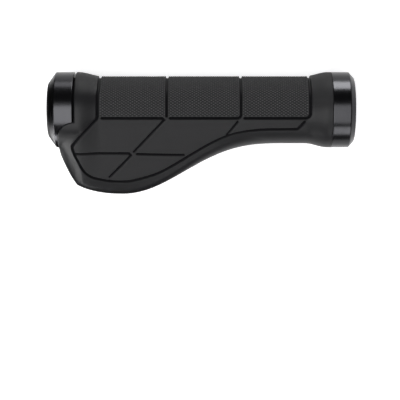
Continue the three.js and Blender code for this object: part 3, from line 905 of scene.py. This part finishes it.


# %% [markdown]
# ## Rubber
# The rubber is a neutral black. Its rim, hood and flares have a soft shine, while the panels that the hand
# holds are duller and paler. The tops of the diamonds get a painted highlight and their valleys painted
# shade.
# Handling leaves faint cloudy patches, and the moulded skin has a very fine grain, too small for the mesh,
# so it is a bump. The grooves get painted shade and are darkest, because little light gets out of them.

# %% Rubber material
rubber = Shader("black_rubber", Specular_IOR_Level=0.2, Metallic=0.0)
cloud = rubber.noise(90.0, 4.0)
grain = rubber.noise(2600.0, 3.0, 0.6)
groove_shade_mask = rubber.attribute("groove")
knurl_valley_shade = rubber.attribute("knurl")
on_knurl = rubber.attribute("panel")
on_panel = rubber.attribute("matt")
shiny = rubber.blend(cloud, (0.010, 0.010, 0.011, 1), (0.013, 0.013, 0.014, 1))
matt = rubber.blend(cloud, (0.020, 0.020, 0.021, 1), (0.024, 0.024, 0.025, 1))
tone = rubber.blend(on_panel, shiny, matt)
# Painted highlight on the tops of the diamonds.
tone = rubber.blend(on_knurl * (1 - knurl_valley_shade), tone, (0.095, 0.095, 0.096, 1))
# Painted shade in the valleys between the diamonds.
tone = rubber.blend(knurl_valley_shade * 0.85, tone, (0.010, 0.010, 0.011, 1))
# Painted shade in the grooves and on the hood's hidden side, paler behind with painted light.
tone = rubber.blend(groove_shade_mask, tone, (0.003, 0.003, 0.004, 1))
rubber.feed(
    Base_Color=tone,
    Roughness=0.36 + cloud * 0.06 + on_panel * 0.26 + groove_shade_mask * 0.5,
    Normal=rubber.bump(grain, 0.2, 0.0001),
)
for piece in rubber_pieces:
    piece.data.materials.append(rubber.material)

# %% [markdown]
# ## Anodised rings
# Anodised aluminium reflects like a dark metal: its colour is a dark grey at all angles, and the soft
# boxes show as bands with soft edges. Turning leaves very fine lines round the ring. They could be drawn
# with a wave texture, but noise that depends on x alone is less regular, as real turning is.

# %% Ring material
anodised = Shader("black_anodised", Metallic=1.0, Specular_IOR_Level=0.5)
across_bar = anodised.node("ShaderNodeSeparateXYZ", {}, {0: anodised.place()}, output="X")
lines_round = anodised.node(
    "ShaderNodeTexNoise", {"noise_dimensions": "1D"}, {"W": across_bar, "Scale": 9000.0, "Detail": 2.0},
    output="Fac")
patches = anodised.noise(160.0, 3.0)
anodised.feed(
    Base_Color=anodised.blend(patches, (0.041, 0.041, 0.044, 1), (0.050, 0.050, 0.053, 1)),
    Roughness=0.17 + patches * 0.07 + lines_round * 0.04,
    Normal=anodised.bump(lines_round, 0.12, 0.00005),
)
for piece in (inner_ring, outer_ring):
    piece.data.materials.append(anodised.material)

# %% [markdown]
# ## Plastic and steel
# The cap is satin plastic with a fine spark-eroded grain. The sleeve is a similar plastic, a little duller.
# The bolts have a black oxide skin that is patchy and lets some steel through. All three use the same few
# nodes as above: a noise for the patches and a bump for the grain.

# %% Cap and sleeve materials
cap_plastic = Shader("cap_plastic", Metallic=0.0, Specular_IOR_Level=0.25)
cap_grain = cap_plastic.noise(3000.0, 2.0)
cap_cloud = cap_plastic.noise(120.0, 3.0)
cap_plastic.feed(
    Base_Color=cap_plastic.blend(cap_cloud, (0.006, 0.006, 0.007, 1), (0.010, 0.010, 0.011, 1)),
    Roughness=0.38 + cap_cloud * 0.1,
    Normal=cap_plastic.bump(cap_grain, 0.2, 0.00006),
)
cap.data.materials.append(cap_plastic.material)

sleeve_plastic = Shader("sleeve_plastic", Metallic=0.0, Specular_IOR_Level=0.4)
sleeve_cloud = sleeve_plastic.noise(150.0, 3.0)
sleeve_plastic.feed(
    Base_Color=sleeve_plastic.blend(sleeve_cloud, (0.010, 0.010, 0.011, 1), (0.016, 0.016, 0.017, 1)),
    Roughness=0.5 + sleeve_cloud * 0.12,
    Normal=sleeve_plastic.bump(sleeve_plastic.noise(2500.0, 2.0), 0.2, 0.00006),
)
sleeve.data.materials.clear()
sleeve.data.materials.append(sleeve_plastic.material)
print("plastics:", cap_plastic.material.name, "and", sleeve_plastic.material.name)

# %% Bolt material
oxide = Shader("black_oxide_steel", Metallic=1.0, Specular_IOR_Level=0.5)
oxide_cloud = oxide.noise(700.0, 4.0)
oxide.feed(
    Base_Color=oxide.blend(oxide_cloud, (0.05, 0.05, 0.055, 1), (0.12, 0.118, 0.115, 1)),
    Roughness=0.34 + oxide_cloud * 0.15,
    Normal=oxide.bump(oxide_cloud, 0.15, 0.00004),
)
for piece in (inner_bolt, outer_bolt):
    piece.data.materials.append(oxide.material)
print("materials:", [m.name for m in bpy.data.materials])

# %% [markdown]
# ## Floor
# The grip lies on a white sweep. Brighter lamps could make the floor white, but they would wash out the
# black rubber. So the floor adds a glow for the rays that come straight from the camera, and still shows
# the soft shadow. Gloss metal mirrors its surroundings, so photographers set pale and dark cards round it.
# Here the floor plays the cards, for mirror rays alone: it is pale behind and on the right, dark in front,
# and has a bright card in front on the left, with a narrow strip beside it. They draw the silver edge of
# the outer ring and the dark bands on both rings.

# %% Floor
FLOOR_SIZE = 6.0
EMISSION = 10.0
FLOOR_GLOW = 0.6
MIRROR_GLOW = 0.2
CARD_GLOW = 9.5
STRIP_SHARE = 0.35
corners = np.array([(-1, -1, 0), (1, -1, 0), (1, 1, 0), (-1, 1, 0)], float) * FLOOR_SIZE / 2
floor = fill_mesh("floor", corners, np.array([[0, 1, 2, 3]]))
floor_paint = Shader("white_floor", Metallic=0.0, Specular_IOR_Level=0.2)
camera_ray = floor_paint.node("ShaderNodeLightPath", output="Is Camera Ray")
mirror_ray = floor_paint.node("ShaderNodeLightPath", output="Is Glossy Ray")
through_ray = floor_paint.node("ShaderNodeLightPath", output="Is Transmission Ray")
along = floor_paint.node("ShaderNodeSeparateXYZ", {}, {0: floor_paint.place()}, output="X")
ahead = floor_paint.node("ShaderNodeSeparateXYZ", {}, {0: floor_paint.place()}, output="Y")


def step_up(value, low, high):
    """0 below low and 1 above high, with a smooth rise between."""
    return floor_paint.node(
        "ShaderNodeMapRange", {"interpolation_type": "SMOOTHSTEP"}, {0: value, 1: low, 2: high})


# The pale part of the floor: the side behind a slanted line, as far as the left end of the grip.
lit = step_up(along, -0.10, -0.07) * step_up(ahead + along * 0.75, -0.045, -0.015)

# The bright card in front on the left, and the narrow strip beside the outer ring. Both are in metres.
left, near = along * -1, ahead * -1
strip = step_up(near - left * 0.1, -0.002, 0.004) - step_up(near, 0.016, 0.026)
far_card = step_up(near, 0.05, 0.08) * step_up(left - near * 0.06, 0.054, 0.074)
card = strip * STRIP_SHARE * step_up(left, 0.066, 0.080) + far_card

mirrored = lit * (MIRROR_GLOW / EMISSION) + card * (CARD_GLOW / EMISSION)
glow = camera_ray * (FLOOR_GLOW / EMISSION) + (mirror_ray + through_ray) * mirrored
unlit = mirror_ray * (1 - lit)
floor_paint.feed(
    Base_Color=floor_paint.blend(unlit, (0.86, 0.86, 0.86, 1), (0.02, 0.02, 0.02, 1)),
    Roughness=0.9,
    Emission_Color=floor_paint.blend(glow, (0, 0, 0, 1), (1, 1, 1, 1)),
    Emission_Strength=EMISSION,
)
floor.data.materials.append(floor_paint.material)
print("floor of", FLOOR_SIZE, "m with", len(floor_paint.tree.nodes), "nodes")

# %% [markdown]
# ## Light
# Nine soft boxes light the grip, all at a plain level. The low ones behind and in front draw the narrow
# bands on the rings and the shine on the rim. The ones overhead light the panels and give each ring its
# wide band. Blender sets an area lamp by its whole power, which makes a small box brighter than a large
# one. The helper takes the brightness of the box's face instead, so each box can be resized by itself.


# %% Soft boxes
def soft_box(name, degrees, distance, wide, deep, radiance, aside, turn):
    """A rectangular area light at an angle from the vertical, towards +Y where positive, then turned round
    the vertical and moved aside along X. It faces the grip. Its power is radiance times area times pi."""
    angle, turn = math.radians(degrees), math.radians(turn)
    data = bpy.data.lights.new(name, "AREA")
    data.shape = "RECTANGLE"
    data.size, data.size_y = wide, deep
    data.energy = radiance * wide * deep * math.pi
    lamp = bpy.data.objects.new(name, data)
    out = distance * math.sin(angle)
    place_x, place_y = aside - out * math.sin(turn), axis_y + out * math.cos(turn)
    lamp.location = (place_x, place_y, axis_z + distance * math.cos(angle))
    lamp.rotation_euler = (-angle, 0, turn)
    lamp.visible_camera = False
    bpy.context.scene.collection.objects.link(lamp)
    print(name, round(data.energy, 2), "W")
    return lamp


# Name, angle, distance, width, depth, radiance, aside and turn of each box.
BOXES = (
    ("back_left_box", 81.0, 1.1, 0.60, 0.40, 2.0, -0.3, 0.0),
    ("back_right_box", 76.5, 1.1, 0.34, 0.53, 8.6, 0.18, 0.0),
    ("top_left_box", -20.5, 1.2, 0.45, 1.24, 3.9, -0.225, 0.0),
    ("top_right_box", -17.0, 1.2, 0.45, 1.28, 2.0, 0.225, 0.0),
    ("top_edge_box", 10.5, 1.2, 0.45, 0.24, 0.9, -0.225, 0.0),
    ("far_left_box", -24.0, 1.2, 0.35, 0.80, 3.4, -0.65, 0.0),
    ("front_left_box", -76.0, 1.1, 0.36, 0.30, 4.0, 0.0, -32.0),
    ("front_box", -70.5, 1.2, 0.30, 0.56, 4.2, 0.25, 0.0),
    ("side_box", 45.0, 1.0, 0.30, 0.30, 5.0, -0.05, 90.0),
)
for box in BOXES:
    soft_box(*box)

# %% [markdown]
# ## World and camera
# The world is white for the camera, so that nothing dark shows past the floor's edge, and almost black for
# all other rays, so that the soft boxes keep their contrast. The camera looks straight down. Its lens
# follows from the scale of the picture, in millimetres a pixel at the height of the bar's axis, and from
# its height above that axis.

# %% World
world = bpy.data.worlds.new("studio")
bpy.context.scene.world = world
world.use_nodes = True
world_tree = world.node_tree
world_rays = world_tree.nodes.new("ShaderNodeLightPath")
world_shade = world_tree.nodes.new("ShaderNodeMix")
world_shade.data_type = "RGBA"
# Sockets 6 and 7 are the two colours of a Mix node.
world_shade.inputs[6].default_value = (0.05, 0.05, 0.055, 1)
world_shade.inputs[7].default_value = (1, 1, 1, 1)
world_tree.links.new(world_rays.outputs["Is Camera Ray"], world_shade.inputs[0])
world_tree.links.new(world_shade.outputs[2], world_tree.nodes["Background"].inputs["Color"])
print("world nodes:", len(world_tree.nodes))

# %% Camera
MM_PER_PIXEL = 0.4255
PIXELS = 400
CAMERA_DISTANCE = 620.0
# The bar's axis lies in this row of the picture, and x = 0 of the wing's frame in this column.
AXIS_ROW = 109.71
ZERO_COLUMN = 200.75
camera_data = bpy.data.cameras.new("camera")
camera_data.sensor_width = 36.0
camera_data.lens = camera_data.sensor_width * CAMERA_DISTANCE / (MM_PER_PIXEL * PIXELS)
camera = bpy.data.objects.new("camera", camera_data)
camera.location = (
    shift_x - (ZERO_COLUMN - PIXELS / 2) * MM_PER_PIXEL / 1000,
    axis_y - (PIXELS / 2 - AXIS_ROW) * MM_PER_PIXEL / 1000,
    axis_z + CAMERA_DISTANCE / 1000,
)
camera_data.clip_start = 0.01
bpy.context.scene.collection.objects.link(camera)
bpy.context.scene.camera = camera
bpy.context.scene.view_settings.view_transform = "Standard"
print("camera at", [round(v, 4) for v in camera.location], "lens", round(camera_data.lens, 1))
